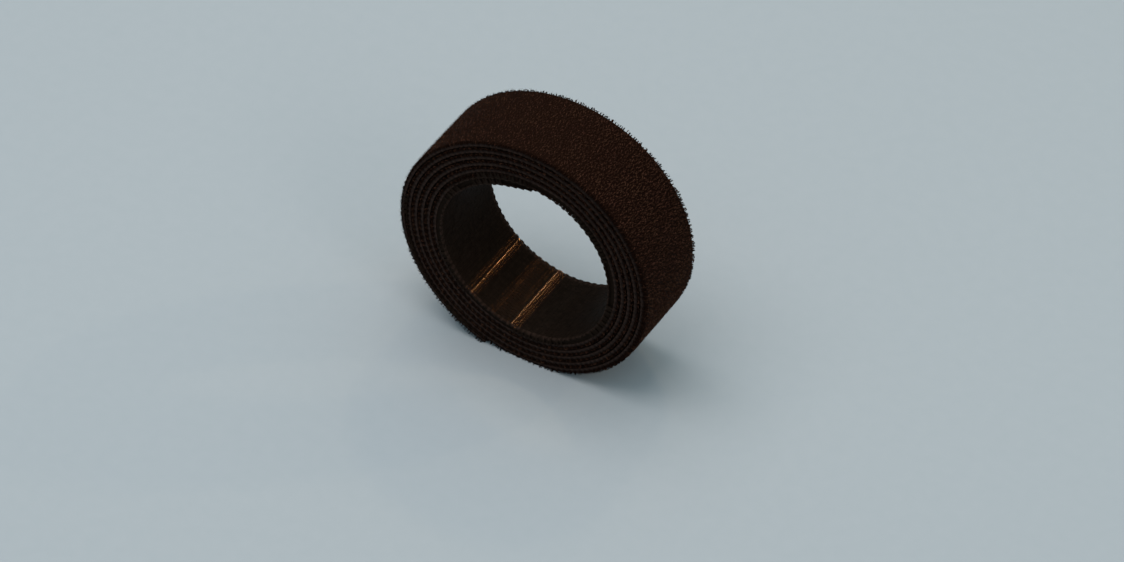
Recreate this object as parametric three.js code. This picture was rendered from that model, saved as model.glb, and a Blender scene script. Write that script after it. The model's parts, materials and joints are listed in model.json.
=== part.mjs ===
// A roll of double-sided hook and loop tape: one strip wound on itself with no core, standing on its rim.
// Hook tape faces the axis, loop tape faces out, and a bond film holds them back to back.
// Millimetres, +Z up. The roll's axis lies along Y, and the origin is on the floor straight under it.
// Angles are seen from -Y, counter-clockwise from +X, and the strip winds outwards as the angle grows.

import * as THREE from 'three';

// Driving dimensions of the strip
const TAPE_WIDTH = 20;
const HOOK_TAPE = 0.3;
const BOND_FILM = 0.08;
const LOOP_TAPE = 0.78;
const ENGAGED_GAP = 0.48;

// Driving dimensions of the roll
const BORE_RADIUS = 21.7;
const INNER_END_DEG = 85;
const OUTER_END_DEG = 247;
const FULL_TURNS = 5;
const STEPS_PER_TURN = 60;
const OVAL_RISE = 0.19;
const OVAL_DEG = 39;
const LOBE_RISE = 0.19;
const LOBE_DEG = 174;

// Depth to which the pile is pressed flat under the roll
const FLOOR_FLAT = 0.5;

// Each free end is a chain of short lengths that bend on each other
const LENGTH_STEPS = 2;
const OUTER_LENGTHS = 6;
const OUTER_BEND_DEG = 24;
const INNER_LENGTHS = 4;
const INNER_BEND_DEG = 15;
const BEND_CLEARANCE = 0.1;

// Part of a step to which a place on the strip is found
const EDGE_PRECISION = 1e-6;

// Worked out from the values above
const TAPE_THICKNESS = HOOK_TAPE + BOND_FILM + LOOP_TAPE;
const TURN_PITCH = TAPE_THICKNESS + ENGAGED_GAP;
const WOUND_DEG = 360 * FULL_TURNS + OUTER_END_DEG - INNER_END_DEG;
const STEPS = Math.round((WOUND_DEG / 360) * STEPS_PER_TURN);
const STEP_DEG = WOUND_DEG / STEPS;
const BOND_DEPTH = HOOK_TAPE + BOND_FILM / 2;
const INNER_ROOT = INNER_LENGTHS * LENGTH_STEPS;
const OUTER_ROOT = STEPS - OUTER_LENGTHS * LENGTH_STEPS;

// The outer end bends towards the pile and the inner end towards the hooks, so those depths set the gaps
const bendGap = (depth, degrees) => 2 * depth * Math.tan(THREE.MathUtils.degToRad(degrees) / 2);
const OUTER_GAP = bendGap(TAPE_THICKNESS - BOND_DEPTH, OUTER_BEND_DEG) + BEND_CLEARANCE;
const INNER_GAP = bendGap(BOND_DEPTH, INNER_BEND_DEG) + BEND_CLEARANCE;

const LAYERS = [
  { name: 'hook_tape', from: 0, to: HOOK_TAPE },
  { name: 'bond_film', from: HOOK_TAPE, to: HOOK_TAPE + BOND_FILM },
  { name: 'loop_tape', from: HOOK_TAPE + BOND_FILM, to: TAPE_THICKNESS },
];

const MATERIALS = {
  hook_tape: new THREE.MeshStandardMaterial({ color: 0x171210, roughness: 0.38, metalness: 0 }),
  bond_film: new THREE.MeshStandardMaterial({ color: 0x241d19, roughness: 0.6, metalness: 0 }),
  loop_tape: new THREE.MeshStandardMaterial({ color: 0x1c1311, roughness: 0.95, metalness: 0 }),
};

// Angle of a place on the strip, counted in steps from its inner end
const angleAt = (step) => THREE.MathUtils.degToRad(INNER_END_DEG + step * STEP_DEG);

// Radius of the strip's hook face there: a spiral, a little out of round as a soft roll is
function hookFaceRadius(step) {
  const angle = angleAt(step);
  const oval = OVAL_RISE * Math.cos(2 * (angle - THREE.MathUtils.degToRad(OVAL_DEG)));
  const lobes = LOBE_RISE * Math.cos(3 * (angle - THREE.MathUtils.degToRad(LOBE_DEG)));
  return BORE_RADIUS + (TURN_PITCH * step * STEP_DEG) / 360 + oval + lobes;
}

// Point of the strip in the XZ plane about the roll's axis, at a depth from its hook face
function stripPoint(step, depth) {
  const radius = hookFaceRadius(step) + depth;
  return new THREE.Vector2(radius * Math.cos(angleAt(step)), radius * Math.sin(angleAt(step)));
}

// Steps that a given length along the strip takes up at a place
function stepsFor(length, step) {
  const arc = (hookFaceRadius(step) + BOND_DEPTH) * THREE.MathUtils.degToRad(STEP_DEG);
  return length / arc;
}

// Floor height about the roll's axis, from the lowest point of the strip's pile
function floorHeight() {
  let lowest = 0;
  for (let step = 0; step <= STEPS; step += 1) {
    lowest = Math.min(lowest, stripPoint(step, TAPE_THICKNESS).y);
  }
  return lowest + FLOOR_FLAT;
}
const FLOOR = floorHeight();

// Places where the pile's outline crosses the floor, found by halving the step that crosses it
function floorEdges() {
  const above = (step) => stripPoint(step, TAPE_THICKNESS).y > FLOOR;
  const edges = [];
  for (let step = 0; step < STEPS; step += 1) {
    if (above(step) === above(step + 1)) continue;
    let low = step;
    let high = step + 1;
    while (high - low > EDGE_PRECISION) {
      const middle = (low + high) / 2;
      if (above(middle) === above(low)) low = middle;
      else high = middle;
    }
    edges.push((low + high) / 2);
  }
  return edges;
}
const FLOOR_EDGES = floorEdges();

// Places of the cross-sections between two ends: every whole step, and the floor's edges
function sectionSteps(first, last) {
  const places = FLOOR_EDGES.filter((step) => step > first && step < last);
  for (let step = Math.floor(first) + 1; step < last; step += 1) places.push(step);
  return [first, ...places.sort((a, b) => a - b), last];
}

// One closed strip of rectangular section between two depths and two places, kept above the floor
function stripGeometry(first, last, layer) {
  const positions = [];
  const indices = [];
  const half = TAPE_WIDTH / 2;
  const sections = sectionSteps(first, last);
  for (const step of sections) {
    const inner = stripPoint(step, layer.from);
    const outer = stripPoint(step, layer.to);
    const corners = [[inner, -half], [inner, half], [outer, half], [outer, -half]];
    for (const [point, y] of corners) positions.push(point.x, y, Math.max(point.y - FLOOR, 0));
  }
  const quad = (a, b, c, d) => indices.push(a, b, c, a, c, d);
  const end = (sections.length - 1) * 4;
  for (let at = 0; at < end; at += 4) {
    for (let side = 0; side < 4; side += 1) {
      const next = (side + 1) % 4;
      quad(at + side, at + 4 + side, at + 4 + next, at + next);
    }
  }
  quad(0, 1, 2, 3);
  quad(end + 3, end + 2, end + 1, end);
  const geometry = new THREE.BufferGeometry();
  geometry.setAttribute('position', new THREE.Float32BufferAttribute(positions, 3));
  geometry.setIndex(indices);
  geometry.computeVertexNormals();
  return geometry;
}

// Adds the three layers of one length of the strip
function addLength(group, name, first, last) {
  for (const layer of LAYERS) {
    const mesh = new THREE.Mesh(stripGeometry(first, last, layer), MATERIALS[layer.name]);
    mesh.name = `${name}_${layer.name}`;
    group.add(mesh);
  }
}

// Hinge line of a bend, in the middle of the bond film
function hingeAt(step) {
  const point = stripPoint(step, BOND_DEPTH);
  return new THREE.Vector3(point.x, 0, point.y - FLOOR);
}

// Least distance between one turn's pile and the next turn's hook face, on points against edges
function leastTurnGap() {
  const nearby = 4;
  const line = new THREE.Line3();
  const near = new THREE.Vector3();
  const flat = (step, depth) => new THREE.Vector3(...stripPoint(step, depth).toArray(), 0);
  let least = Infinity;
  for (let step = 0; step + STEPS_PER_TURN <= STEPS; step += 1) {
    const pile = flat(step, TAPE_THICKNESS);
    for (let away = -nearby; away < nearby; away += 1) {
      const other = step + STEPS_PER_TURN + away;
      if (other + 1 > STEPS) continue;
      line.set(flat(other, 0), flat(other + 1, 0)).closestPointToPoint(pile, true, near);
      least = Math.min(least, near.distanceTo(pile));
    }
  }
  return least;
}

const roll = new THREE.Group();
roll.name = 'tape_roll';
roll.userData.hinges = {};

// The wound part
addLength(roll, 'wound', INNER_ROOT + stepsFor(INNER_GAP / 2, INNER_ROOT),
  OUTER_ROOT - stepsFor(OUTER_GAP / 2, OUTER_ROOT));

// The outer end, from its root to its tip
for (let length = 0; length < OUTER_LENGTHS; length += 1) {
  const root = OUTER_ROOT + length * LENGTH_STEPS;
  const tip = root + LENGTH_STEPS;
  const name = `outer_end_${length + 1}`;
  const last = tip < STEPS ? tip - stepsFor(OUTER_GAP / 2, tip) : tip;
  addLength(roll, name, root + stepsFor(OUTER_GAP / 2, root), last);
  roll.userData.hinges[name] = hingeAt(root);
}

// The inner end, from its root to its tip
for (let length = 0; length < INNER_LENGTHS; length += 1) {
  const root = INNER_ROOT - length * LENGTH_STEPS;
  const tip = root - LENGTH_STEPS;
  const name = `inner_end_${length + 1}`;
  const first = tip > 0 ? tip + stepsFor(INNER_GAP / 2, tip) : tip;
  addLength(roll, name, first, root - stepsFor(INNER_GAP / 2, root));
  roll.userData.hinges[name] = hingeAt(root);
}

console.log(`least gap between turns: ${leastTurnGap().toFixed(3)} mm`);

export default roll;
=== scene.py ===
"""Looks of a roll of double-sided hook and loop tape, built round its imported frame, in metres.

The tape is first made flat, as it comes off the loom: x runs along it from its inner end, y across it, and
z up from its hook face. Hooks hang under it and loops stand on it. Then it is wound on to the roll's spiral.
"""
import json
import math

import bpy
from mathutils import Matrix, Vector
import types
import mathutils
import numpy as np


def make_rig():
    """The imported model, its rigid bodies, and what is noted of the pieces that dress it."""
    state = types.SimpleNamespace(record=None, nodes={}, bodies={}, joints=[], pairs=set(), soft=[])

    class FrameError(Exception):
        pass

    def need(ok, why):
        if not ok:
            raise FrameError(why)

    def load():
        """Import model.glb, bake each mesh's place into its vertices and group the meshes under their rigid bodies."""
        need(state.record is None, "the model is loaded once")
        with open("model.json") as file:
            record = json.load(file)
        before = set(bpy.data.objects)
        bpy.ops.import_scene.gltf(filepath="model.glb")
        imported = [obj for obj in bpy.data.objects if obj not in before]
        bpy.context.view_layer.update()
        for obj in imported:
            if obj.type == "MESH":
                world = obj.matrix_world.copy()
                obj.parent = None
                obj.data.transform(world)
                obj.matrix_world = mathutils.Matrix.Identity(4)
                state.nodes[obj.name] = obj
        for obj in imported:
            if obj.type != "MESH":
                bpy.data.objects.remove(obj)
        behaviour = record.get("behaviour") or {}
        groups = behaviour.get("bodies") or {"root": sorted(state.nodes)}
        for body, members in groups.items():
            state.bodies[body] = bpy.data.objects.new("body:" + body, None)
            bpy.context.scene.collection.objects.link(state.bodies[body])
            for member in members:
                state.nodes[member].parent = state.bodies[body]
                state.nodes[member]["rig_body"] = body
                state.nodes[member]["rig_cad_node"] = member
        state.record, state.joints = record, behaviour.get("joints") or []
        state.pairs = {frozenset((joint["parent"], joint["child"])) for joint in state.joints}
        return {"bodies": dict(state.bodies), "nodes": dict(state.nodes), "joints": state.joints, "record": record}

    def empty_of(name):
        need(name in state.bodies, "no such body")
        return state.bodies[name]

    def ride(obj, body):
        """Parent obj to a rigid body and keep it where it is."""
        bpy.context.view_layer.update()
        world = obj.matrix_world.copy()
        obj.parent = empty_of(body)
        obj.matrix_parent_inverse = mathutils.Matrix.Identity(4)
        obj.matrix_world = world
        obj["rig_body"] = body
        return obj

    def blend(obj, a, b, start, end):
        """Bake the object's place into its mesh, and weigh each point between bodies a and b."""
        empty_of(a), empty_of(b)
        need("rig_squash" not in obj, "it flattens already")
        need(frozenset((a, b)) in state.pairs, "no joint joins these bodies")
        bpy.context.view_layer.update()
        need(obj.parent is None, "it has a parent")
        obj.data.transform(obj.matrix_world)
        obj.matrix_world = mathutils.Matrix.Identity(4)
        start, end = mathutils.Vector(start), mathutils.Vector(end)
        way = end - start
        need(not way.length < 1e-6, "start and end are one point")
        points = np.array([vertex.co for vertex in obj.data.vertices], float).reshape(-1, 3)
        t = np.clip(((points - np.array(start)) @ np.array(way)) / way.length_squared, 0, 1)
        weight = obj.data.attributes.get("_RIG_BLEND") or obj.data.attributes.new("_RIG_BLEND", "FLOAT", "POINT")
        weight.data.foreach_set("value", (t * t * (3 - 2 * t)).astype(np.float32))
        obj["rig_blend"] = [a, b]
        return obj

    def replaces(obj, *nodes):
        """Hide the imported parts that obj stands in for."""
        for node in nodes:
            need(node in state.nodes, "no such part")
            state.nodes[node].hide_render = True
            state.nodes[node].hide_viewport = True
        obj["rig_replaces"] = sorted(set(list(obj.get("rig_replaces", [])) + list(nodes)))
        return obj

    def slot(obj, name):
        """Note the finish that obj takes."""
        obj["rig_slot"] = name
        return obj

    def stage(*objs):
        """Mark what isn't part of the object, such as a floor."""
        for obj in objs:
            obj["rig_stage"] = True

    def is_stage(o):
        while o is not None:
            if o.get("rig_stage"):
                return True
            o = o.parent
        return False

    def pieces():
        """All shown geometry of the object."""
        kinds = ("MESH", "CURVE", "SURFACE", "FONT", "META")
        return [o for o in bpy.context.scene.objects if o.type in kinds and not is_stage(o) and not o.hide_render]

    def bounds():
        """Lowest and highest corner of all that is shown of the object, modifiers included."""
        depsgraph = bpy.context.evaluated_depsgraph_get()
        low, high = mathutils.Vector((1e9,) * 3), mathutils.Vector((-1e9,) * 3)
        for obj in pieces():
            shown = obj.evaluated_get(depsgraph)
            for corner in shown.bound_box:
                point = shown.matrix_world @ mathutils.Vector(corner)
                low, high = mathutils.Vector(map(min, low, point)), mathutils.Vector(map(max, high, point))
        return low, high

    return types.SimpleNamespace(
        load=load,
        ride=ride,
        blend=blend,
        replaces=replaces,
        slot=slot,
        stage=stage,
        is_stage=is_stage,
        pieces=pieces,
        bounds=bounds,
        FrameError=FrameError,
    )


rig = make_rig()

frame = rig.load()
cad_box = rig.bounds()

MM = 0.001

# The strip and its winding, as in the frame
TAPE_WIDTH = 20 * MM
HALF_WIDTH = TAPE_WIDTH / 2
HOOK_TAPE = 0.3 * MM
BOND_FILM = 0.08 * MM
TURN_PITCH = 1.64 * MM
SPIRAL_RISE = TURN_PITCH / (2 * math.pi)
BORE_RADIUS = 21.7 * MM
AXIS_HEIGHT = 29.785 * MM
INNER_END = math.radians(85)
OVAL_RISE, OVAL_AT = 0.19 * MM, math.radians(39)
LOBE_RISE, LOBE_AT = 0.19 * MM, math.radians(174)
WOUND_DEG = 1962

# How softly the pile bends where it is pressed on the floor
FLOOR_PRESS = 0.06 * MM

# The free ends: short lengths that bend on each other, and an outer tip that runs on past the frame's
LENGTH_DEG = 12
INNER_LENGTHS = 4
OUTER_LENGTHS = 6
TIP_OVERRUN_DEG = 4
INNER_ROOT_DEG = INNER_LENGTHS * LENGTH_DEG
OUTER_ROOT_DEG = WOUND_DEG - OUTER_LENGTHS * LENGTH_DEG
OUTER_TIP_DEG = WOUND_DEG + TIP_OVERRUN_DEG

# The knitted ground of the loop tape, by depth from the hook face, and the beads along the tape's edges
LOOP_GROUND = HOOK_TAPE + BOND_FILM
LOOP_GROUND_TOP = 0.73 * MM
EDGE_BEAD = 1.44 * MM
EDGE_DEPTH = 0.2 * MM

# Steps of a layer's mesh along each bead, and strips across the tape
BEAD_STEPS = 4
TAPE_STRIPS = 3
FILM_STRIPS = 1

# Width of tape that a bake map takes in, with room for what stands out past the edges
MAP_WIDTH = 1.1 * TAPE_WIDTH

# The pile's body under the loops, a painted shadow: its least top, sides, shade and share of their height
PILE_TOP = 0.8 * MM
PILE_INSET = 0.12 * MM
PILE_TAPER = 0.045
PAINTED_PILE_SHADOW = -0.8
DENSE_PILE = 0.58
NO_PILE = 0.0

# Hooks stand in columns along the tape, and every other column is stepped across it
HOOK_COLUMN = 0.96 * MM
HOOK_ROW = 0.8292 * MM
HOOK_SPACES = 24
HOOK_OFFSET = 0.15 * MM
HOOK_STEP = 0.2 * MM

# Columns face by runs, one way and then the other, with one run for each space of a piece in this length
RUNS_LENGTH = 1000 * MM

# Part of a column by which one at the very end of a piece is left to the next piece
COLUMN_SLACK = 1e-6

# One hook: a stem, then a flat head of a half turn in a few bends, then a tip
HOOK_ROOT = 0.1 * MM
HOOK_STEM = 1.25 * MM
HOOK_RISE = 0.2 * MM
HOOK_REACH = 0.4 * MM
HOOK_BREADTH = 0.92 * MM
HOOK_THICK = 0.16 * MM
HEAD_BENDS = 4
HOOK_POINTS = HEAD_BENDS + 3
HOOK_CREASE = math.radians(40)

# The head's arch is just over the root of two high, so that its shoulders reach the full rise
HEAD_RISE = 1.4143

# Shares that shape the hook: a hollow top, square shoulders, a neck, a narrow tip and a dished face
HEAD_HOLLOW = 0.174
HEAD_SQUARE = 0.38
HOOK_NECK = 0.45
TIP_NARROWING = 0.4
HEAD_DISH = 0.0228

# Ranges from which each hook draws its share of the full height, its lean and its turn
HOOK_HEIGHTS = (0.98, 1.02)
HOOK_LEANS = (-0.002, 0.002)
HOOK_TURNS = (-0.05, 0.05)

# The dense stems as one body, and the crushed hooks near the cut inner end
STEMS_DEEP = 1.2 * MM
STEMS_OFFSET = 0.3 * MM
CRUSHED_LENGTH = 7 * MM
CRUSHED_SHARE = 0.4

# Loops: arches of yarn on the other face
LOOP_SPACING = 0.54 * MM
LOOP_SPAN = 0.8 * MM
LOOP_RISE = 0.85 * MM
LOOP_ROOT = 0.15 * MM
LOOP_FOOT = 0.7
LOOP_YARN = 0.21 * MM
LOOP_POINTS = 6
YARN_SIDES = 3
YARN_CREASE = math.radians(130)

# Ranges from which each loop draws its place in its space, its lean, its turn, its span and its height
LOOP_ALONG = (0.05, 0.95)
LOOP_ACROSS = (-0.4, 0.4)
LOOP_LEANS = (-0.3, 0.3)
LOOP_TURNS = (-0.45, 0.45)
LOOP_SPANS = (0.7, 1.3)
LOOP_HEIGHTS = (0.82, 1.0)

# How far the pile leans out, in radians, and how near to the tape's edges
EDGE_LEAN = 0.5
EDGE_LEAN_WIDTH = 1.2 * MM

# Hairs: fine ends of broken loops, one at each loop, whose height follows the loop's in part
HAIR_RISE = 1.2 * MM
HAIR_REACH = 0.5 * MM
HAIR_THICK = 0.06 * MM
HAIR_BEND = 1.4
HAIR_NARROWING = 0.6
HAIR_POINTS = 4
HAIR_FOLLOW = 0.5
HAIR_HEIGHTS = (0.75, 0.95)

# Which hooks are set out, by their distance from the tape's middle, and how they stand: free or caught
ALL_HOOKS = {"edge_band": -1.0, "edge_limit": 1.0}
EDGE_HOOKS = {"edge_band": HALF_WIDTH - 1.3 * MM, "edge_limit": HALF_WIDTH - 0.7 * MM}
FREE = {"hook_height": 1.0, "stems_inset": -0.1 * MM}
CAUGHT = {"hook_height": 0.58, "stems_inset": 1.2 * MM}

# Which loops are set out, the way that they arch, and the least of their shades
ACROSS, ALONG = 0.0, math.pi / 2
ALL_LOOPS = {"edge_band": -1.0, "loop_turn": ACROSS, "least_shade": 0.0}
NO_LOOPS = {"edge_band": TAPE_WIDTH, "loop_turn": ACROSS, "least_shade": 0.0}
EDGE_LOOPS = {"edge_band": HALF_WIDTH - 0.75 * MM, "loop_turn": ALONG, "least_shade": 0.6}

# Shares of the loops' full height at each piece's ends: caught in hooks, round the outer turn, and worn
CAUGHT_HEIGHTS = (0.9,) * (INNER_LENGTHS + 2)
OUTER_HEIGHTS = (0.9, 0.9, 1.1, 1.6, 1.5, 0.8, 0.45)
WORN_HEIGHTS = (0.45, 0.45, 0.45, 0.45, 0.5, 0.8, 1.05, 1.05)

# Where the wound part starts and ends, in degrees from the tape's inner end, and its turns that show
ROLL_FIRST = INNER_ROOT_DEG + LENGTH_DEG / 2
ROLL_LAST = OUTER_ROOT_DEG - LENGTH_DEG / 2
FREE_HOOKS_DEG = 366
INNER_TURN_END = ROLL_FIRST + FREE_HOOKS_DEG
OUTER_TURN = ROLL_LAST - 360
INNER_PIECES = 2
EDGE_PIECES = 2
OUTER_PIECES = len(OUTER_HEIGHTS) - 1

# Seeds: one for each piece, or the first of a set of pieces and the step to the next
WOUND_HOOK_SEED, WOUND_LOOP_SEED = 11, 31
INNER_SEED, INNER_SEED_STEP = 20, 5
OUTER_SEED, OUTER_SEED_STEP = 100, 10
EDGE_SEED, EDGE_SEED_STEP = 200, 10
LENGTH_SEED, LENGTH_SEED_STEP = 300, 60
TIP_SEED = 900
END_LOOP_SEED_STEP = 40

# Finishes are laid out on the flat tape in millimetres
EDGE = HALF_WIDTH / MM
NOISE_DETAIL = 3.0

# Beads of light along the edges: how far they wander, over what patches, and their strength
BEAD_WANDER = 9
BEAD_PATCHES = 0.6
BEAD_STRENGTH = 0.35

# Hook nylon: its colours, its mottle, a painted highlight on the heads that show along the edges, and its amber gloss
HOOK_DARK = (0.0078, 0.0048, 0.0034, 1)
HOOK_PALE = (0.0196, 0.012, 0.0085, 1)
HOOK_HEAD_HIGHLIGHT = (0.038, 0.0225, 0.0175, 1)
HOOK_MOTTLE = 0.6
HOOK_PATCHES = 0.6
HEAD_DEEP = 1.2
HEAD_BAND = 0.5
HEAD_HIGHLIGHT = 0.5
HOOK_GLOSS = 0.02
HOOK_AMBER = (1.0, 0.36, 0.0, 1)

# The burnished stretch of hooks in the bore, and how rough it is, with how much duller the rest is
BURNISHED_AT = 62.5
BURNISHED_LENGTH = 20
BURNISHED_FADE = 4
BURNISHED_ROUGH = 0.04
BURNISHED_UNEVEN = 0.02
BURNISHED_PATCHES = 1.4
DULLER = 0.45

# Glue film
FILM_DARK = (0.01, 0.006, 0.005, 1)
FILM_PALE = (0.024, 0.0145, 0.012, 1)
FILM_PATCHES = 1.1
FILM_ROUGH = 0.5
FILM_UNEVEN = 0.25

# Knitted ground: its colours, its stitches, its pale crest at the very edge, and its shade under the pile
KNIT_DARK = (0.009, 0.0045, 0.0032, 1)
KNIT_PALE = (0.05, 0.026, 0.0185, 1)
KNIT_TONE = 0.33
KNIT_MOTTLE = 1.5
KNIT_PATCHES = 1.2
STITCH_ALONG = 0.96
STITCH_ACROSS = 0.55
STITCH_STRENGTH = 0.5
STITCH_HEIGHT = 0.05 * MM
CREST_WIDTH = 0.1
CREST_LIGHT = 0.4
SHADE_FROM = 0.42
SHADE_DEPTH = 0.2
SHADE_STRENGTH = 0.8
KNIT_ROUGH = 0.85

# Loop pile: its colours, what its tone is made of with painted light at its top, and painted shade on the rims by the
# edges
PILE_DARK = (0.008, 0.0026, 0.0012, 1)
PILE_RED = (0.074, 0.0275, 0.0195, 1)
PILE_BROWN = (0.078, 0.039, 0.0215, 1)
PILE_PATCHES = 0.25
PILE_TONE = -0.1
YARN_TONE = 0.8
YARN_CONTRAST = 3
PATCH_TONE = 0.3
TOP_PAINTED_LIGHT = 0.3
HIGH_FROM = 0.9
HIGH_DEPTH = 0.7
RIM_WIDTH = 0.8
RIM_PAINTED_SHADE = 0.4
PILE_ROUGH = 0.8
PILE_UNEVEN = 0.15
PILE_SHEEN = (1.0, 0.6, 0.45, 1)
FIBRE_GLOSS = 0.1

# Floor
FLOOR_DARK = (0.44, 0.486, 0.518, 1)
FLOOR_PALE = (0.466, 0.508, 0.54, 1)
FLOOR_PATCHES = 300.0
FLOOR_ROUGH = 0.9

# Camera: its turn and rise about the roll, its distance, its aim and its lens
CAMERA_TURN, CAMERA_RISE = math.radians(31.2), math.radians(42.8)
CAMERA_DISTANCE = 1.08612
CAMERA_AIM = Vector((0.37 * MM, 0, 29.565 * MM))
CAMERA_SIDE, CAMERA_LIFT = -2.87 * MM, 10.05 * MM
LENS_MM, SENSOR_MM = 160.14, 36.0
CLIP_NEAR, CLIP_FAR = 0.01, 20

# Light: two soft lamps by the way they shine from, and a pale room that is brighter overhead
LAMP_DISTANCE = 0.9
DAYLIGHT = (1.0, 0.86, 0.79)
OVERHEAD_FROM, OVERHEAD_SIZE, OVERHEAD_WATTS = Vector((-0.22, -0.08, 0.972)), (0.8, 0.8), 4.84
RIGHT_FROM, RIGHT_SIZE, RIGHT_WATTS = Vector((0.72, -0.33, 0.61)), (0.25, 0.25), 0.68
ROOM_COLOUR = (0.645, 0.895, 1.0, 1)
ROOM_LOW, ROOM_RISE = 0.083, 0.686

# Narrow amber lamps for the lines of light in the bore: each line's place in hook columns, and its watts
AMBER, DEEP_AMBER = (1.0, 0.8, 0.55), (1.0, 0.65, 0.3)
GLINT_SIZE = (0.003, 0.04)
GLINT_ACROSS = 3 * MM
GLINTS = ((58.0, 0.34), (70.7, 0.26))
STREAKS = (
    (56.3, 0.02), (57.0, 0.035), (58.6, 0.03), (59.3, 0.025), (64.1, 0.015), (64.9, 0.025), (65.6, 0.02),
    (66.4, 0.01), (67.5, 0.01), (68.6, 0.012), (69.5, 0.02), (71.5, 0.07), (72.1, 0.05), (72.7, 0.03))

# The floor's plane, a little under the roll so that the two never lie in one plane
FLOOR_SIZE = 6
FLOOR_DROP = 0.02 * MM


class Wire:
    """One socket of a node tree. Sums written with it add Math nodes, and add() puts in any other node."""

    def __init__(self, tree, socket=None):
        self.tree = tree
        self.socket = socket

    def add(self, kind, settings=(), inputs=(), output=None):
        """A new node from its type, settings and what feeds its sockets, as the wires of its outputs."""
        node = self.tree.nodes.new(kind)
        for name, value in dict(settings).items():
            setattr(node, name, value)
        for name, value in dict(inputs).items():
            for one in value if isinstance(value, list) else [value]:
                self.feed(in_use(node.inputs, name), one)
        if isinstance(output, tuple):
            return [Wire(self.tree, in_use(node.outputs, name)) for name in output]
        return Wire(self.tree, in_use(node.outputs, output))

    def feed(self, socket, value):
        if isinstance(value, Wire):
            self.tree.links.new(value.socket, socket)
        else:
            socket.default_value = value

    def maths(self, operation, *values):
        node = self.tree.nodes.new("ShaderNodeMath")
        node.operation = operation
        for socket, value in zip(node.inputs, values):
            self.feed(socket, value)
        return Wire(self.tree, node.outputs[0])

    def __add__(self, other):
        return self.maths("ADD", self, other)

    def __radd__(self, other):
        return self.maths("ADD", other, self)

    def __sub__(self, other):
        return self.maths("SUBTRACT", self, other)

    def __rsub__(self, other):
        return self.maths("SUBTRACT", other, self)

    def __neg__(self):
        return 0 - self

    def __mul__(self, other):
        return self.maths("MULTIPLY", self, other)

    def __rmul__(self, other):
        return self.maths("MULTIPLY", other, self)

    def __truediv__(self, other):
        return self.maths("DIVIDE", self, other)

    def __rtruediv__(self, other):
        return self.maths("DIVIDE", other, self)

    def __mod__(self, other):
        return self.maths("FLOORED_MODULO", self, other)

    def __pow__(self, other):
        return self.maths("POWER", self, other)

    def __gt__(self, other):
        return self.maths("GREATER_THAN", self, other)

    def __lt__(self, other):
        return self.maths("LESS_THAN", self, other)

    def __abs__(self):
        return self.maths("ABSOLUTE", self)

    def __round__(self):
        return self.maths("ROUND", self)

    def at_least(self, low):
        return self.maths("MAXIMUM", self, low)

    def at_most(self, high):
        return self.maths("MINIMUM", self, high)

    def parts(self):
        return self.add("ShaderNodeSeparateXYZ", inputs={"Vector": self}, output=("X", "Y", "Z"))

    def vector(self, x=0.0, y=0.0, z=0.0):
        return self.add("ShaderNodeCombineXYZ", inputs={"X": x, "Y": y, "Z": z})


def in_use(sockets, name):
    """The socket of that name that the node's settings leave on, or the first that is on."""
    return next(s for s in sockets if s.enabled and name in (None, s.name))


def worked(operation, plain, value):
    """A function of a wire or of a plain number, so that one formula serves the nodes and the script."""
    return value.maths(operation, value) if isinstance(value, Wire) else plain(value)


def sine(value):
    return worked("SINE", math.sin, value)


def cosine(value):
    return worked("COSINE", math.cos, value)


def root(value):
    return worked("SQRT", math.sqrt, value)


# The spiral


def along(degrees):
    """Length of tape from its inner end to a place that far round the roll."""
    turn = math.radians(degrees)
    return BORE_RADIUS * turn + SPIRAL_RISE * turn ** 2 / 2


def wound_place(length, depth):
    """X and Z of a place on the wound tape, with the pile pressed up where it meets the floor."""
    spiral = root(BORE_RADIUS ** 2 + 2 * SPIRAL_RISE * length)
    angle = INNER_END + (spiral - BORE_RADIUS) / SPIRAL_RISE
    out_of_round = OVAL_RISE * cosine(2 * (angle - OVAL_AT)) + LOBE_RISE * cosine(3 * (angle - LOBE_AT))
    radius = spiral + out_of_round + depth
    height = AXIS_HEIGHT + radius * sine(angle)
    return radius * cosine(angle), (height + root(height * height + FLOOR_PRESS ** 2)) / 2


def point_on_roll(degrees):
    """A point in the middle of the tape's width and at the back of its hook tape."""
    x, z = wound_place(along(degrees), HOOK_TAPE)
    return Vector((x, 0, z))


# Steps that the trees share


def new_tree(name, sizes):
    """An empty tree with a named input for each size, and the wires of those inputs by name."""
    tree = bpy.data.node_groups.new(name, "GeometryNodeTree")
    for size, kind in sizes.items():
        tree.interface.new_socket(size, in_out="INPUT", socket_type=f"NodeSocket{kind}")
    tree.interface.new_socket("Geometry", in_out="OUTPUT", socket_type="NodeSocketGeometry")
    entry = tree.nodes.new("NodeGroupInput")
    return Wire(tree), {size: Wire(tree, entry.outputs[size]) for size in sizes}


def end_tree(net, geometry):
    net.feed(net.tree.nodes.new("NodeGroupOutput").inputs[0], geometry)
    return net.tree


def chance(net, low, high, seed):
    """A number between two others, drawn for each point or copy."""
    return net.add("FunctionNodeRandomValue", {"data_type": "FLOAT"},
                   {"Min": low, "Max": high, "Seed": seed})


def keep(net, geometry, name, value, kind="FLOAT", domain="POINT"):
    """Keeps a value on the geometry under a name, for the finishes."""
    return net.add("GeometryNodeStoreNamedAttribute", {"data_type": kind, "domain": domain},
                   {"Geometry": geometry, "Name": name, "Value": value})


def here(net):
    """X, Y and Z of the points that a formula is worked out for, as they lie at that step."""
    return net.add("GeometryNodeInputPosition").parts()


def moved(net, geometry, x, y, z):
    return net.add("GeometryNodeSetPosition", inputs={
        "Geometry": geometry, "Position": net.vector(x, y, z)})


def joined(net, *pieces):
    return net.add("GeometryNodeJoinGeometry", inputs={"Geometry": list(pieces)})


def realized(net, copies):
    return net.add("GeometryNodeRealizeInstances", inputs={"Geometry": copies})


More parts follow.
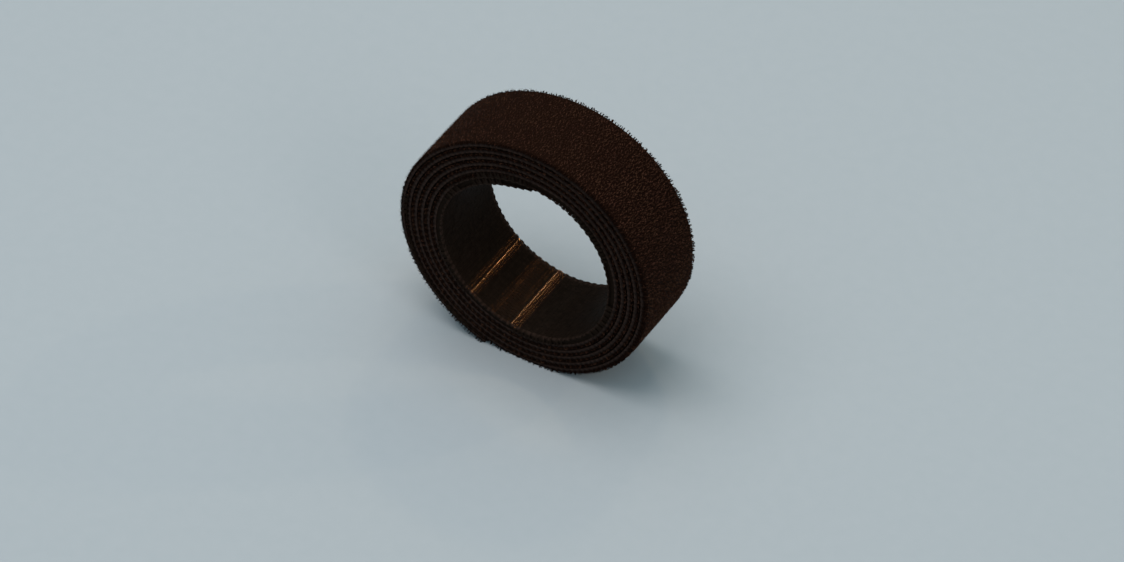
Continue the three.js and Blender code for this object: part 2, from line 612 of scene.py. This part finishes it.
def painted(net, geometry, material):
    return net.add("GeometryNodeSetMaterial", inputs={"Geometry": geometry, "Material": material})


def wanted(net, switch, geometry):
    """The geometry if the switch is on, and else nothing."""
    return net.add("GeometryNodeSwitch", {"input_type": "GEOMETRY"}, {"Switch": switch, "True": geometry})


def smooth(net, geometry, crease):
    """Smooth faces, with an edge left where they meet in a sharper angle than the crease."""
    fold = net.add("GeometryNodeInputMeshEdgeAngle", output="Unsigned Angle")
    geometry = net.add("GeometryNodeSetShadeSmooth", {"domain": "FACE"}, {"Geometry": geometry})
    return net.add("GeometryNodeSetShadeSmooth", {"domain": "EDGE"}, {
        "Geometry": geometry, "Selection": fold > crease, "Shade Smooth": False})


def wind(net, geometry, size):
    """Keeps each point's place on the flat tape for the finishes, then bends the tape on to the roll.

    The bend turns every face inside out, so the faces are flipped after it.
    """
    place = net.add("GeometryNodeInputPosition")
    x, y, z = place.parts()
    geometry = keep(net, geometry, "flat", place, "FLOAT_VECTOR")
    share = (x - size["Start"]) / (size["End"] - size["Start"])
    geometry = keep(net, geometry, "OFBake", net.vector(share, y / MAP_WIDTH + 0.5), "FLOAT2", "CORNER")
    across, height = wound_place(x, z)
    return net.add("GeometryNodeFlipFaces", inputs={"Mesh": moved(net, geometry, across, y, height)})


def slab(net, size, low, high, inset, edge):
    """A flat closed length of the tape between two depths, with beaded edges, from a block of side 1."""
    block = net.add("GeometryNodeMeshCube", inputs={
        "Size": (1, 1, 1), "Vertices X": size["Steps"] + 1, "Vertices Y": size["Strips"] + 1,
        "Vertices Z": 2})
    x, y, z = here(net)
    bead = edge / 2 * (1 + cosine((x + 0.5) * size["Steps"] * (2 * math.pi / BEAD_STEPS)))
    length = size["Start"] + (x + 0.5) * (size["End"] - size["Start"])
    width = y * 2 * (HALF_WIDTH - bead - inset)
    return moved(net, block, length, width, low + (z + 0.5) * (high - low))


def grid(net, columns, rows):
    """Points on a square of side 1, which are then moved to their places on the tape."""
    return net.add("GeometryNodeMeshGrid", inputs={
        "Size X": 1.0, "Size Y": 1.0, "Vertices X": columns, "Vertices Y": rows})


def bent_line(net, points, across, up):
    """A line of a few points, laid along a formula across the tape and up from it."""
    line = net.add("GeometryNodeCurvePrimitiveLine")
    line = net.add("GeometryNodeResampleCurve", inputs={"Curve": line, "Count": points})
    return moved(net, line, 0.0, across, up)


def set_out(net, points, shape, chosen, rotation, scale, shade):
    """Copies of a shape on the chosen points, each with a shade of its own."""
    copies = net.add("GeometryNodeInstanceOnPoints", inputs={
        "Points": points, "Selection": chosen, "Instance": shape, "Rotation": rotation, "Scale": scale})
    return keep(net, copies, "shade", shade, domain="INSTANCE")


# The layers, each a tree with the same first sizes

SPAN = {"Start": "Float", "End": "Float", "Steps": "Int", "Strips": "Int"}


def film_tree(material):
    """The bond film between the two tapes."""
    net, size = new_tree("bond_film", SPAN)
    film = slab(net, size, HOOK_TAPE, LOOP_GROUND, 0, EDGE_DEPTH / 2)
    film = realized(net, wind(net, film, size))
    return end_tree(net, painted(net, film, material))


def hook_shape(net):
    """One hook, hanging down from the hook face: a thin stem, a flat broad head and a tip turned back."""
    share = net.add("GeometryNodeSplineParameter", output="Factor") * (HOOK_POINTS - 1)
    bent = (share - 1).at_least(0)
    turned = bent * (math.pi / HEAD_BENDS)
    rise = HEAD_RISE * sine(turned)
    foot = share.at_most(1) * (HOOK_ROOT + HOOK_STEM) - HOOK_ROOT
    down = foot + HOOK_RISE * rise.at_most(1 + HEAD_HOLLOW * (1 - rise))
    across = cosine(turned) * (1 + HEAD_SQUARE - HEAD_SQUARE * cosine(turned) ** 2)
    line = bent_line(net, HOOK_POINTS, -HOOK_REACH * across, -down)
    strap = net.add("GeometryNodeCurvePrimitiveQuadrilateral", inputs={
        "Width": HOOK_BREADTH, "Height": HOOK_THICK})
    breadth = HOOK_NECK + (1 - HOOK_NECK) * bent.at_most(1)
    tip = (bent - HEAD_BENDS).at_least(0)
    hook = net.add("GeometryNodeCurveToMesh", inputs={
        "Curve": line, "Profile Curve": strap, "Fill Caps": True, "Scale": breadth - TIP_NARROWING * tip})
    return smooth(net, hook, HOOK_CREASE)


def uncrushed(length):
    """Share of their full height at which the hooks stand, less near the cut inner end."""
    crushed = 1 - (length / CRUSHED_LENGTH).at_most(1)
    return 1 - (1 - CRUSHED_SHARE) * crushed * crushed


def stem_body(net, size, material):
    """The dense stems as one body."""
    stems = painted(net, slab(net, size, -STEMS_DEEP, 0, size["Stems Inset"], 0.0), material)
    length, place, deep = here(net)
    return moved(net, stems, length, place + STEMS_OFFSET, deep * size["Hook Height"] * uncrushed(length))


def hook_copies(net, size, material):
    """Hooks in their columns. A run of them faces one way across the tape, and the next run the other."""
    x, y, _ = here(net)
    spaces = size["Columns"] - 1
    column = round(size["First Column"] + (x + 0.5) * spaces)
    row = HOOK_OFFSET + y * HOOK_SPACES * HOOK_ROW + (column % 2 - 0.5) * HOOK_STEP
    points = moved(net, grid(net, size["Columns"], HOOK_SPACES + 1), column * HOOK_COLUMN, row, 0.0)
    length, place, _ = here(net)
    seed = size["Seed"]
    chosen = (abs(place) > size["Edge Band"]) * (abs(place) < size["Edge Limit"])
    tall = size["Hook Height"] * uncrushed(length) * chance(net, *HOOK_HEIGHTS, seed)
    lean = chance(net, *HOOK_LEANS, seed + 1)
    run = round(size["First Column"] + (length / RUNS_LENGTH + 0.5) * spaces)
    turn = run % 2 * math.pi + chance(net, *HOOK_TURNS, seed + 2)
    shade = chance(net, 0.0, 1.0, seed + 3)
    hooks = set_out(net, points, hook_shape(net), chosen, net.vector(lean, 0.0, turn),
                    net.vector(1.0, 1.0, tall), shade)
    return painted(net, realized(net, hooks), material)


def hook_tree(ground_material, hook_material):
    """The hook tape: its ground, its dense stems and its hooks."""
    net, size = new_tree("hook_tape", {
        **SPAN, "Ground": "Bool", "First Column": "Int", "Columns": "Int", "Edge Band": "Float",
        "Edge Limit": "Float", "Hook Height": "Float", "Stems Inset": "Float", "Seed": "Int"})
    ground = painted(net, slab(net, size, 0, HOOK_TAPE, 0, EDGE_DEPTH / 2), ground_material)
    tape = joined(net, wanted(net, size["Ground"], ground), stem_body(net, size, hook_material),
                  hook_copies(net, size, hook_material))
    return end_tree(net, wind(net, tape, size))


def yarn_on(net, line, thick, scale):
    """Closed yarn of a given thickness along a line."""
    yarn = net.add("GeometryNodeCurvePrimitiveCircle", inputs={
        "Resolution": YARN_SIDES, "Radius": thick / 2})
    piece = net.add("GeometryNodeCurveToMesh", inputs={
        "Curve": line, "Profile Curve": yarn, "Scale": scale, "Fill Caps": True})
    return smooth(net, piece, YARN_CREASE)


def loop_shape(net):
    """One arch of yarn across the tape, a little narrower at its foot."""
    turned = net.add("GeometryNodeSplineParameter", output="Factor") * math.pi
    across = LOOP_SPAN / 2 * cosine(turned) * (LOOP_FOOT + (1 - LOOP_FOOT) * sine(turned))
    line = bent_line(net, LOOP_POINTS, across, LOOP_RISE * sine(turned) - LOOP_ROOT)
    return yarn_on(net, line, LOOP_YARN, 1.0)


def hair_shape(net):
    """One fine end of a broken loop, bent over towards its tip."""
    share = net.add("GeometryNodeSplineParameter", output="Factor")
    up = HAIR_RISE * sine(share * HAIR_BEND) - LOOP_ROOT
    line = bent_line(net, HAIR_POINTS, HAIR_REACH * share ** 2, up)
    return yarn_on(net, line, HAIR_THICK, 1 - HAIR_NARROWING * share)


def loop_height(size, length):
    """Share of their full height at which the loops stand, from one end of a piece to the other."""
    share = (length - size["Start"]) / (size["End"] - size["Start"])
    return size["First Height"] + share * (size["Last Height"] - size["First Height"])


def pile_body(net, size, material):
    """The thick of the pile as one body, dark with painted shadow between the loops, drawn in a little towards its
    top.
    """
    body = painted(net, slab(net, size, 0, 1, PILE_INSET, 0.0), material)
    length, place, share = here(net)
    deep = (size["Dense"] * loop_height(size, length) * LOOP_RISE).at_least(PILE_TOP - LOOP_GROUND_TOP)
    width = place * (1 - PILE_TAPER * size["Dense"] * share)
    body = moved(net, body, length, width, LOOP_GROUND_TOP + share * deep)
    return wanted(net, size["Pile"], keep(net, body, "shade", PAINTED_PILE_SHADOW))


def loop_points(net, size):
    """Where the loops stand: in even spaces, each at its own place in its space."""
    x, y, _ = here(net)
    seed = size["Seed"]
    step = (size["End"] - size["Start"]) / size["Columns"]
    length = size["Start"] + step * ((x + 0.5) * (size["Columns"] - 1) + chance(net, *LOOP_ALONG, seed))
    width = y * (TAPE_WIDTH - LOOP_SPACING) + LOOP_SPACING * chance(net, *LOOP_ACROSS, seed + 1)
    square = grid(net, size["Columns"], round(TAPE_WIDTH / LOOP_SPACING))
    return moved(net, square, length, width, LOOP_GROUND_TOP)


def splayed(net, place, lean, turn):
    """Rotation of a loop or a hair that is turned and leant, and leans out near the tape's edges."""
    rim = (abs(place) - HALF_WIDTH + EDGE_LEAN_WIDTH) / EDGE_LEAN_WIDTH
    splay = EDGE_LEAN * (place / HALF_WIDTH) * rim.at_least(0)
    return net.vector(lean - splay * cosine(turn), splay * sine(turn), turn)


def loop_copies(net, size, material):
    """The loops and their hairs."""
    points = loop_points(net, size)
    length, place, _ = here(net)
    seed = size["Seed"]
    chosen = abs(place) > size["Edge Band"]
    height = loop_height(size, length)
    shade = chance(net, size["Least Shade"], 1.0, seed + 6)
    lean = chance(net, *LOOP_LEANS, seed + 2)
    turn = size["Loop Turn"] + chance(net, *LOOP_TURNS, seed + 3)
    broad = chance(net, *LOOP_SPANS, seed + 4)
    tall = height * chance(net, *LOOP_HEIGHTS, seed + 5)
    loops = set_out(net, points, loop_shape(net), chosen, splayed(net, place, lean, turn),
                    net.vector(1.0, broad, tall), shade)
    around = chance(net, 0.0, 2 * math.pi, seed + 8)
    raised = (1 - HAIR_FOLLOW + HAIR_FOLLOW * height) * chance(net, *HAIR_HEIGHTS, seed + 9)
    hairs = set_out(net, points, hair_shape(net), chosen, splayed(net, place, 0, around),
                    net.vector(1.0, 1.0, raised), shade)
    return painted(net, realized(net, joined(net, loops, hairs)), material)


def loop_tree(ground_material, pile_material):
    """The loop tape: its ground, the thick of its pile and its loops."""
    net, size = new_tree("loop_tape", {
        **SPAN, "Ground": "Bool", "Pile": "Bool", "Dense": "Float", "Columns": "Int", "Edge Band": "Float",
        "First Height": "Float", "Last Height": "Float", "Loop Turn": "Float", "Least Shade": "Float",
        "Seed": "Int"})
    ground = painted(net, slab(net, size, LOOP_GROUND, LOOP_GROUND_TOP, 0, EDGE_DEPTH), ground_material)
    tape = joined(net, wanted(net, size["Ground"], ground), pile_body(net, size, pile_material),
                  loop_copies(net, size, pile_material))
    return end_tree(net, wind(net, tape, size))


def make(name, tree, **sizes):
    """A plain mesh from a tree, with its named sizes set by their identifiers before it is worked out."""
    piece = bpy.data.objects.new(name, bpy.data.meshes.new(name))
    bpy.context.scene.collection.objects.link(piece)
    modifier = piece.modifiers.new(name, "NODES")
    modifier.node_group = tree
    for item in tree.interface.items_tree:
        if item.in_out == "INPUT":
            modifier[item.identifier] = sizes[item.name.lower().replace(" ", "_")]
    graph = bpy.context.evaluated_depsgraph_get()
    mesh = bpy.data.meshes.new_from_object(
        piece.evaluated_get(graph), preserve_all_data_layers=True, depsgraph=graph)
    piece.modifiers.clear()
    piece.data = mesh
    return piece


# Finishes


def principled(name, **constants):
    """A new material, its wire and its main shader, with what is the same all over set on the shader."""
    material = bpy.data.materials.new(name)
    material.use_nodes = True
    shader = next(n for n in material.node_tree.nodes if n.type == "BSDF_PRINCIPLED")
    for socket, value in constants.items():
        shader.inputs[socket.replace("_", " ")].default_value = value
    return material, Wire(material.node_tree), shader


def flat_place(net):
    """Place on the flat tape, in millimetres."""
    place = net.add("ShaderNodeAttribute", {"attribute_name": "flat"}, output="Vector")
    return net.add("ShaderNodeVectorMath", {"operation": "SCALE"}, {"Vector": place, "Scale": 1 / MM})


def shade_of(net):
    return net.add("ShaderNodeAttribute", {"attribute_name": "shade"}, output="Fac")


def noise(net, place, scale):
    return net.add("ShaderNodeTexNoise", inputs={"Vector": place, "Scale": scale, "Detail": NOISE_DETAIL},
                   output="Fac")


def mixed(net, share, first, second):
    return net.add("ShaderNodeMix", {"data_type": "RGBA"}, {"Factor": share, "A": first, "B": second})


def bumped(net, height, strength, distance):
    return net.add("ShaderNodeBump", inputs={"Height": height, "Strength": strength, "Distance": distance})


def beads(net, place):
    """Waves from -1 to 1 along the tape at the pitch of its edge's beads, with the evenness taken off."""
    x, _, _ = place.parts()
    return sine(x * (2 * math.pi * MM / EDGE_BEAD) + BEAD_WANDER * noise(net, place, BEAD_PATCHES))


def hook_finish():
    """Dark nylon with a painted highlight on the heads along the edges, dished so that each head catches a line of
    light.
    """
    material, net, shader = principled(
        "hook_nylon", Specular_IOR_Level=HOOK_GLOSS, Specular_Tint=HOOK_AMBER)
    place = flat_place(net)
    x, y, z = place.parts()
    tone = noise(net, place, HOOK_PATCHES) * HOOK_MOTTLE + shade_of(net) * (1 - HOOK_MOTTLE)
    # The heads along the edges are painted paler as a highlight, in beads of painted light
    head = (z < -HEAD_DEEP) * (abs(y) > EDGE - HEAD_BAND)
    light = head * (HEAD_HIGHLIGHT + BEAD_STRENGTH * beads(net, place))
    colour = mixed(net, light, mixed(net, tone, HOOK_DARK, HOOK_PALE), HOOK_HEAD_HIGHLIGHT)
    net.feed(shader.inputs["Base Color"], colour)
    off = x.maths("PINGPONG", x, HOOK_COLUMN / MM / 2)
    net.feed(shader.inputs["Normal"], bumped(net, off * off * HEAD_DISH / (HOOK_BREADTH / MM), 1.0, MM))
    dull = ((abs(x - BURNISHED_AT) - BURNISHED_LENGTH / 2) / BURNISHED_FADE).at_least(0).at_most(1)
    uneven = BURNISHED_UNEVEN * noise(net, place, BURNISHED_PATCHES)
    net.feed(shader.inputs["Roughness"], BURNISHED_ROUGH + uneven + DULLER * dull)
    return material


def film_finish():
    """Dull glue film."""
    material, net, shader = principled("glue_film", Specular_IOR_Level=FIBRE_GLOSS)
    tone = noise(net, flat_place(net), FILM_PATCHES)
    net.feed(shader.inputs["Base Color"], mixed(net, tone, FILM_DARK, FILM_PALE))
    net.feed(shader.inputs["Roughness"], FILM_ROUGH + FILM_UNEVEN * tone)
    return material


def knit_finish():
    """Knitted ground with small stitches, palest at the very edge and darker nearer to the pile."""
    material, net, shader = principled(
        "knitted_ground", Roughness=KNIT_ROUGH, Specular_IOR_Level=FIBRE_GLOSS)
    place = flat_place(net)
    x, y, z = place.parts()
    stitches = sine(x * (2 * math.pi / STITCH_ALONG)) * sine(y * (2 * math.pi / STITCH_ACROSS))
    crest = ((abs(y) - (EDGE - CREST_WIDTH)) / CREST_WIDTH).at_least(0)
    tone = KNIT_TONE + CREST_LIGHT * crest + KNIT_MOTTLE * (noise(net, place, KNIT_PATCHES) - 0.5)
    shaded = ((z - SHADE_FROM) / SHADE_DEPTH).at_least(0).at_most(1)
    tone = tone * (1 - SHADE_STRENGTH * shaded)
    net.feed(shader.inputs["Base Color"], mixed(net, tone, KNIT_DARK, KNIT_PALE))
    net.feed(shader.inputs["Normal"], bumped(net, stitches, STITCH_STRENGTH, STITCH_HEIGHT))
    return material


def pile_finish():
    """Brown yarn, each loop with its own tone, with painted light at the pile's top and painted shade in its depth and
    rims.
    """
    material, net, shader = principled(
        "loop_pile", Specular_IOR_Level=FIBRE_GLOSS, Specular_Tint=PILE_SHEEN)
    place = flat_place(net)
    _, y, z = place.parts()
    patch = noise(net, place, PILE_PATCHES)
    # Painted light on the pile's top, and painted shade in its depth
    high = ((z - HIGH_FROM) / HIGH_DEPTH).at_most(1)
    tone = YARN_TONE * shade_of(net) ** YARN_CONTRAST + PATCH_TONE * patch + TOP_PAINTED_LIGHT * high + PILE_TONE
    # Painted shade on the rims beside the edges, broken by beads of painted light
    rim = ((abs(y) - (EDGE - RIM_WIDTH)) / RIM_WIDTH).at_least(0)
    tone = tone - (RIM_PAINTED_SHADE + BEAD_STRENGTH * beads(net, place)) * rim
    yarn = mixed(net, patch, PILE_RED, PILE_BROWN)
    net.feed(shader.inputs["Base Color"], mixed(net, tone, PILE_DARK, yarn))
    net.feed(shader.inputs["Roughness"], PILE_ROUGH + PILE_UNEVEN * patch)
    return material


def floor_finish():
    """Plain pale floor with a very fine grain."""
    material, net, shader = principled("pale_floor", Roughness=FLOOR_ROUGH)
    grain = noise(net, net.add("ShaderNodeTexCoord", output="Object"), FLOOR_PATCHES)
    net.feed(shader.inputs["Base Color"], mixed(net, grain, FLOOR_DARK, FLOOR_PALE))
    return material


# Camera

level = math.cos(CAMERA_RISE)
back = Vector((math.sin(CAMERA_TURN) * level, -math.cos(CAMERA_TURN) * level, math.sin(CAMERA_RISE)))
right = Vector((math.cos(CAMERA_TURN), math.sin(CAMERA_TURN), 0))
upward = back.cross(right)
camera = bpy.data.objects.new("camera", bpy.data.cameras.new("camera"))
camera.data.lens, camera.data.sensor_width = LENS_MM, SENSOR_MM
camera.data.clip_start, camera.data.clip_end = CLIP_NEAR, CLIP_FAR
camera.matrix_world = Matrix.Translation(
    CAMERA_AIM + back * CAMERA_DISTANCE - right * CAMERA_SIDE - upward * CAMERA_LIFT
) @ Matrix((right, upward, back)).transposed().to_4x4()
bpy.context.scene.collection.objects.link(camera)
bpy.context.scene.camera = camera
bpy.context.scene.view_settings.view_transform = "Standard"

# Light


def lamp(name, place, size, watts, colour):
    """A soft light that shines on the roll. Its second size is its length along the roll's axis."""
    light = bpy.data.lights.new(name, "AREA")
    light.shape, light.size, light.size_y = "RECTANGLE", *size
    light.energy, light.color = watts, colour
    away = (place - CAMERA_AIM).normalized()
    wide = Vector((0, 1, 0)).cross(away).normalized()
    holder = bpy.data.objects.new(name, light)
    turned = Matrix((wide, away.cross(wide), away)).transposed().to_4x4()
    holder.matrix_world = Matrix.Translation(place) @ turned
    bpy.context.scene.collection.objects.link(holder)


def glint_place(line, across):
    """Where a lamp stands to shine a line, placed by hook columns, off the innermost hooks at the camera."""
    column = round(line)
    depth = -HOOK_STEM - HOOK_RISE - HOOK_THICK / 2
    sides = (column * HOOK_COLUMN - HOOK_BREADTH / 2, column * HOOK_COLUMN + HOOK_BREADTH / 2)
    (x1, z1), (x2, z2) = (wound_place(side, depth) for side in sides)
    wide = Vector((x2 - x1, 0, z2 - z1)).normalized()
    offset = (line - column) * HOOK_COLUMN
    spot = Vector(((x1 + x2) / 2, across, (z1 + z2) / 2)) + offset * wide
    face = (Vector((-wide.z, 0, wide.x)) - 2 * HEAD_DISH * offset / HOOK_BREADTH * wide).normalized()
    view = (camera.matrix_world.translation - spot).normalized()
    return spot + LAMP_DISTANCE * (2 * face.dot(view) * face - view)


lamp("overhead", CAMERA_AIM + LAMP_DISTANCE * OVERHEAD_FROM, OVERHEAD_SIZE, OVERHEAD_WATTS, DAYLIGHT)
lamp("right_front", CAMERA_AIM + LAMP_DISTANCE * RIGHT_FROM, RIGHT_SIZE, RIGHT_WATTS, DAYLIGHT)
for lines, colour in ((GLINTS, AMBER), (STREAKS, DEEP_AMBER)):
    for line, watts in lines:
        lamp(f"glint_{line}", glint_place(line, GLINT_ACROSS), GLINT_SIZE, watts, colour)

room = bpy.data.worlds.new("room")
room.use_nodes = True
background = room.node_tree.nodes["Background"]
background.inputs["Color"].default_value = ROOM_COLOUR
sky = Wire(room.node_tree)
_, _, high = sky.add("ShaderNodeTexCoord", output="Generated").parts()
sky.feed(background.inputs["Strength"], ROOM_LOW + ROOM_RISE * high.at_least(0))
bpy.context.scene.world = room

# Floor

bpy.ops.mesh.primitive_plane_add(size=FLOOR_SIZE, location=(0, 0, -FLOOR_DROP))
floor = bpy.context.object
floor.name = "floor"
floor.data.materials.append(floor_finish())
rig.stage(floor)

# Pieces

hook_nylon = hook_finish()
glue_film = film_finish()
knitted_ground = knit_finish()
loop_pile = pile_finish()
hook_layer = hook_tree(knitted_ground, hook_nylon)
film_layer = film_tree(glue_film)
loop_layer = loop_tree(knitted_ground, loop_pile)


def span(first, last, strips):
    """What every layer is told: its ends along the tape, and mesh steps for whole beads along its edge."""
    start, end = along(first), along(last)
    return {"start": start, "end": end, "steps": BEAD_STEPS * max(1, round((end - start) / EDGE_BEAD)),
            "strips": strips}


def hook_piece(name, first, last, rows, stand, ground, seed):
    """Hook tape between two places in degrees, with or without its ground."""
    size = span(first, last, TAPE_STRIPS)
    column = math.ceil(size["start"] / HOOK_COLUMN)
    columns = math.floor(size["end"] / HOOK_COLUMN - COLUMN_SLACK) - column + 1
    return make(name, hook_layer, **size, **rows, **stand, ground=ground, seed=seed,
                first_column=column, columns=columns)


def film_piece(name, first, last):
    """Bond film between two places in degrees."""
    return make(name, film_layer, **span(first, last, FILM_STRIPS))


def loop_piece(name, first, last, rows, heights, ground, dense, seed):
    """Loop tape between two places in degrees, with or without its ground and the thick of its pile."""
    size = span(first, last, TAPE_STRIPS)
    columns = round((size["end"] - size["start"]) / LOOP_SPACING)
    return make(name, loop_layer, **size, **rows, ground=ground, pile=ground or dense > 0, dense=dense,
                columns=columns, first_height=heights[0], last_height=heights[1], seed=seed)


def finished(piece, slot, *nodes):
    """Gives a piece its finish's slot and the nodes of the frame that it stands for."""
    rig.slot(piece, slot)
    if nodes:
        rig.replaces(piece, *nodes)
    return piece


def stretches(first, last, count):
    """The two ends of each of a number of equal stretches of the tape, with their numbers from 0."""
    stretch = (last - first) / count
    starts = [first + i * stretch for i in range(count)]
    return [(i, start, start + stretch) for i, start in enumerate(starts)]


# The wound part: its three layers, then the hooks and loops of the turns that show
wound = [
    finished(hook_piece("wound_hook_tape", ROLL_FIRST, ROLL_LAST, EDGE_HOOKS, CAUGHT, True,
                        WOUND_HOOK_SEED), "hook_tape", "wound_hook_tape"),
    finished(film_piece("wound_bond_film", ROLL_FIRST, ROLL_LAST), "bond_film", "wound_bond_film"),
    finished(loop_piece("wound_loop_tape", ROLL_FIRST, ROLL_LAST, NO_LOOPS, CAUGHT_HEIGHTS, True, NO_PILE,
                        WOUND_LOOP_SEED), "loop_tape", "wound_loop_tape"),
]
for i, first, last in stretches(ROLL_FIRST, INNER_TURN_END, INNER_PIECES):
    piece = hook_piece(f"wound_inner_hooks_{i + 1}", first, last, ALL_HOOKS, FREE, False,
                       INNER_SEED + INNER_SEED_STEP * i)
    wound.append(finished(piece, "hook_tape"))
for i, first, last in stretches(OUTER_TURN, ROLL_LAST, OUTER_PIECES):
    piece = loop_piece(f"wound_outer_loops_{i + 1}", first, last, ALL_LOOPS, OUTER_HEIGHTS[i:i + 2], False,
                       DENSE_PILE, OUTER_SEED + OUTER_SEED_STEP * i)
    wound.append(finished(piece, "loop_tape"))
for i, first, last in stretches(ROLL_FIRST, OUTER_TURN, EDGE_PIECES):
    piece = loop_piece(f"wound_edge_loops_{i + 1}", first, last, EDGE_LOOPS, CAUGHT_HEIGHTS, False, NO_PILE,
                       EDGE_SEED + EDGE_SEED_STEP * i)
    wound.append(finished(piece, "loop_tape"))
for piece in wound:
    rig.ride(piece, "roll")


def end_pieces(name, first, last, stand, heights, seed, *nodes):
    """The three layers of a short length of a free end."""
    layers = {
        "hook_tape": hook_piece(f"{name}_hook_tape", first, last, ALL_HOOKS, stand, True, seed),
        "bond_film": film_piece(f"{name}_bond_film", first, last),
        "loop_tape": loop_piece(f"{name}_loop_tape", first, last, ALL_LOOPS, heights, True, NO_PILE,
                                seed + END_LOOP_SEED_STEP),
    }
    return [finished(piece, layer, *(f"{node}_{layer}" for node in nodes))
            for layer, piece in layers.items()]


def free_end(name, lengths, root_deg, tip_deg, stand, heights):
    """A chain of lengths from the roll to the tip, each bending across one hinge, and a stiff tip."""
    way = 1 if tip_deg > root_deg else -1
    for i in range(lengths):
        hinge = root_deg + way * i * LENGTH_DEG
        near, far = hinge - way * LENGTH_DEG / 2, hinge + way * LENGTH_DEG / 2
        bodies = ("roll" if i == 0 else f"{name}_{i}", f"{name}_{i + 1}")
        first, last = sorted((near, far))
        for piece in end_pieces(f"{name}_{i + 1}", first, last, stand, heights[i:i + 2],
                                LENGTH_SEED + LENGTH_SEED_STEP * i, bodies[1]):
            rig.blend(piece, *bodies, start=point_on_roll(near), end=point_on_roll(far))
    first, last = sorted((far, tip_deg))
    for piece in end_pieces(f"{name}_tip", first, last, stand, heights[-2:], TIP_SEED):
        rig.ride(piece, f"{name}_{lengths}")


free_end("inner_end", INNER_LENGTHS, INNER_ROOT_DEG, 0, FREE, CAUGHT_HEIGHTS)
free_end("outer_end", OUTER_LENGTHS, OUTER_ROOT_DEG, OUTER_TIP_DEG, CAUGHT, WORN_HEIGHTS)

with open("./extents.json", "w") as out:
    json.dump({"cad": [list(p) for p in cad_box], "visual": [list(p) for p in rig.bounds()]}, out)
